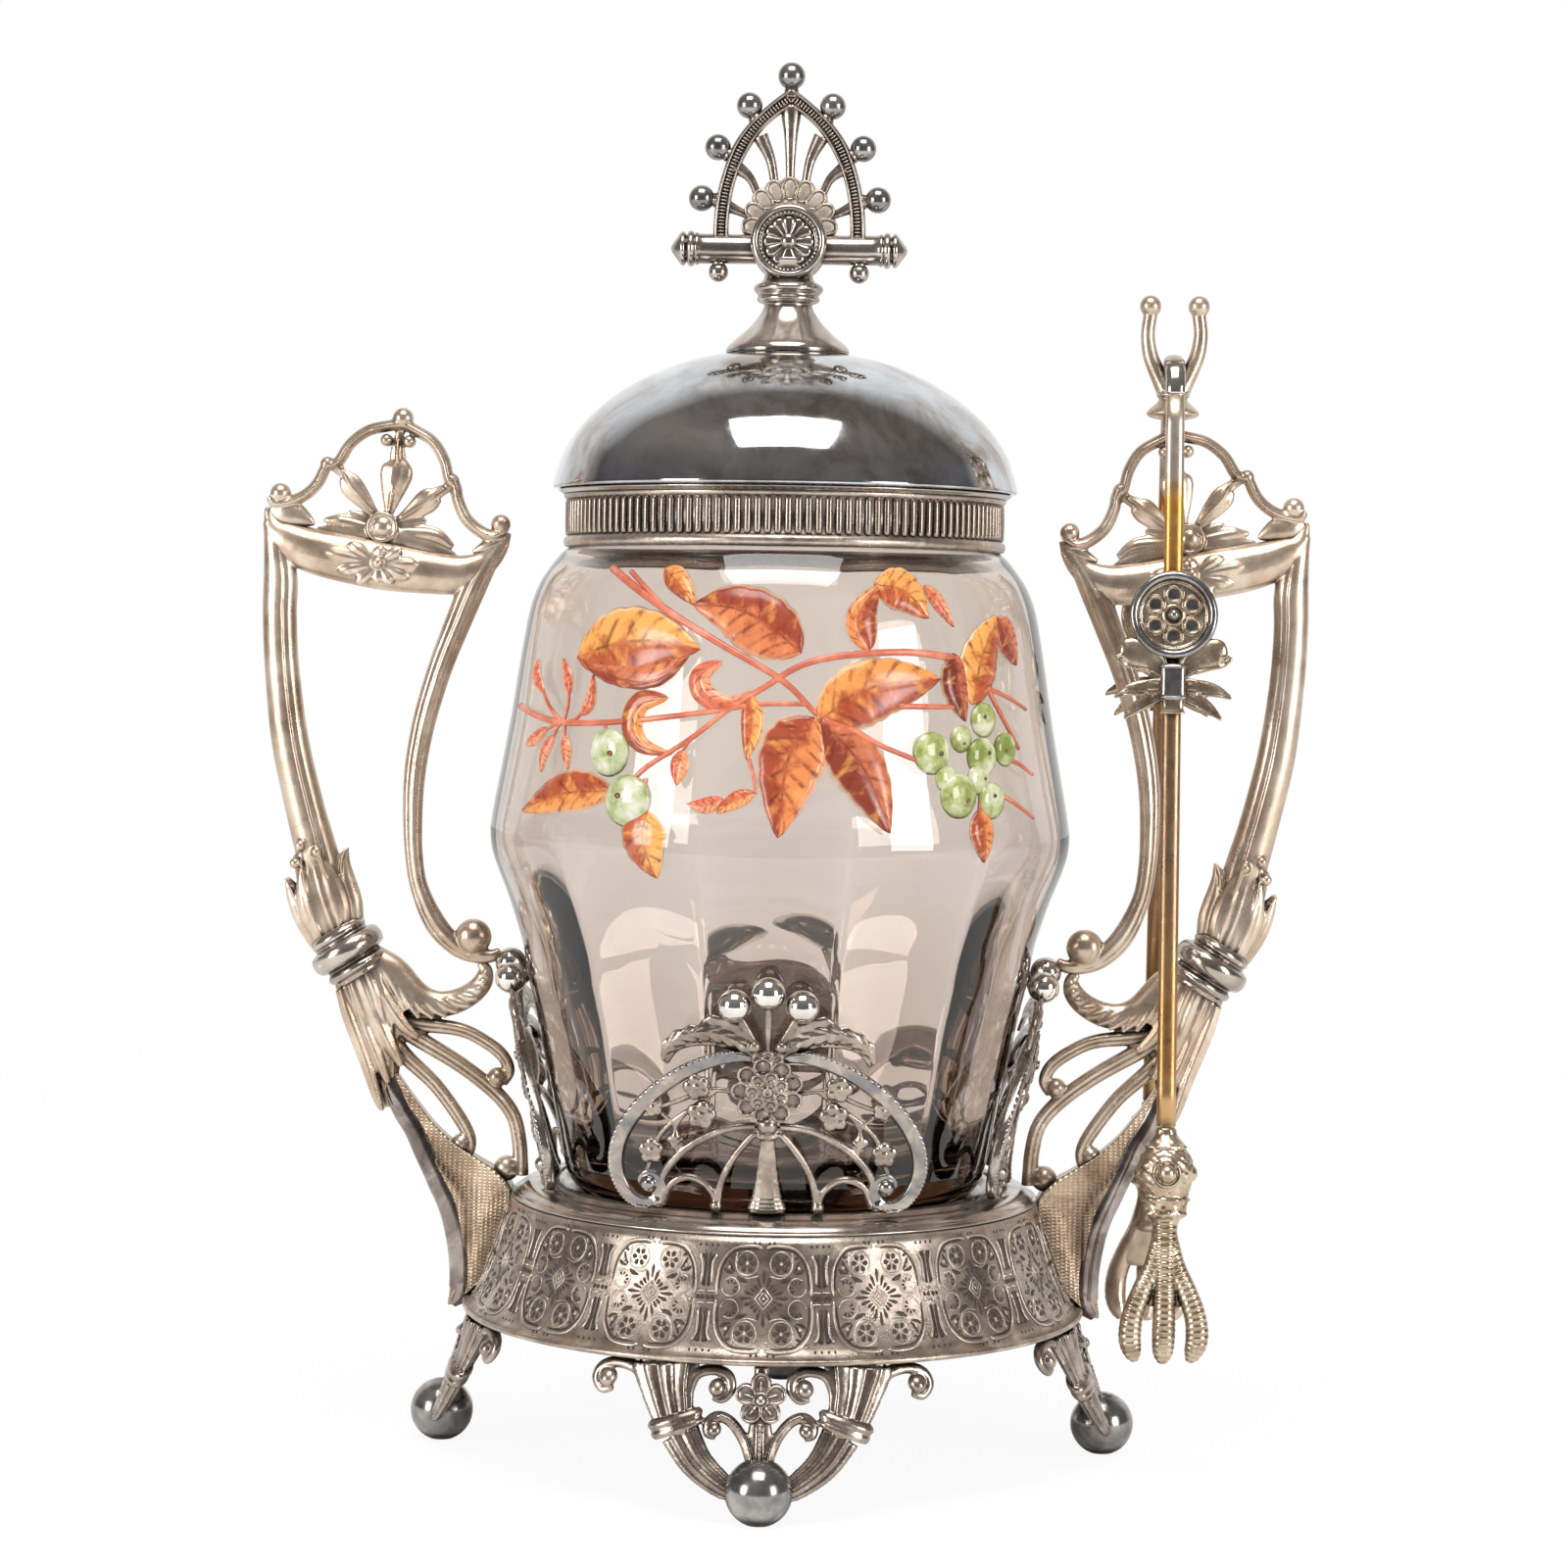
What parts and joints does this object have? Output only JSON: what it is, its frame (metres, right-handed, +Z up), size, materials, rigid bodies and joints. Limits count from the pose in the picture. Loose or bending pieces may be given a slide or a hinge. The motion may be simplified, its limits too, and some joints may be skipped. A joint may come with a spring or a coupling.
{
  "type": "pickle castor",
  "caption": "Footed silver-plated stand with scrolled handles, holding a lidded glass jar with a pierced finial, and claw tongs hung on one handle.",
  "frame": {"origin": "on the surface that the feet stand on, under the jar's axis", "axes": "+Z up along the jar's axis, +X towards the handle that carries the tongs, -Y towards the front"},
  "size_m": [0.1898, 0.1322, 0.2509],
  "materials": {
    "silver_plate": "tarnished silver plate, cast and stamped",
    "warm_silver": "satin silver plate with a rose tone",
    "dark_silver": "polished silver plate, darkly tarnished",
    "gilt_silver": "worn plate over brass",
    "smoked_glass": "smoky blown glass"
  },
  "bodies": {
    "frame": {"base_band": "silver_plate", "base_deck": "silver_plate", "foot_front": "silver_plate", "foot_right": "silver_plate", "foot_back": "silver_plate", "foot_left": "silver_plate", "gallery_front": "silver_plate", "gallery_right": "silver_plate", "gallery_back": "silver_plate", "gallery_left": "silver_plate", "right_bracket": "warm_silver", "left_bracket": "warm_silver", "right_collar": "warm_silver", "left_collar": "warm_silver", "right_grip": "warm_silver", "left_grip": "warm_silver", "right_crest": "warm_silver", "left_crest": "warm_silver", "tong_fork": "warm_silver"},
    "jar": {"jar_glass": "smoked_glass"},
    "lid": {"lid_dome": "dark_silver", "lid_band": "silver_plate", "finial_foot": "dark_silver", "finial_hub": "silver_plate", "finial_bar": "silver_plate", "finial_arch": "silver_plate", "finial_nut": "gilt_silver"},
    "tongs": {"tong_bend": "gilt_silver"},
    "tongs_front": {"front_arm": "gilt_silver", "front_disc": "gilt_silver", "front_bow": "gilt_silver", "front_claw": "gilt_silver"},
    "tongs_back": {"back_arm": "gilt_silver", "back_disc": "gilt_silver", "back_bow": "gilt_silver", "back_claw": "gilt_silver"}
  },
  "joints": [
    {"name": "jar_lift", "type": "slide", "parent": "frame", "child": "jar", "axis": [0, 0, 1], "range_m": [0, 0.028]},
    {"name": "lid_lift", "type": "slide", "parent": "jar", "child": "lid", "axis": [0, 0, 1], "range_m": [0, 0.1]},
    {"name": "tongs_lift", "type": "slide", "parent": "frame", "child": "tongs", "axis": [0, 0, 1], "range_m": [0, 0.19]},
    {"name": "front_squeeze", "type": "hinge", "parent": "tongs", "child": "tongs_front", "pos_m": [0.0696, -0.00587, 0.19168], "axis": [1, 0, 0], "range_deg": [0, 5.5], "stiffness_Nm_per_rad": 2},
    {"name": "back_squeeze", "type": "hinge", "parent": "tongs", "child": "tongs_back", "pos_m": [0.0696, 0.00587, 0.19168], "axis": [1, 0, 0], "range_deg": [-5.5, 0], "stiffness_Nm_per_rad": 2}
  ],
  "couplings": [
    {"joint": "back_squeeze", "follows": "front_squeeze", "ratio": -1}
  ]
}
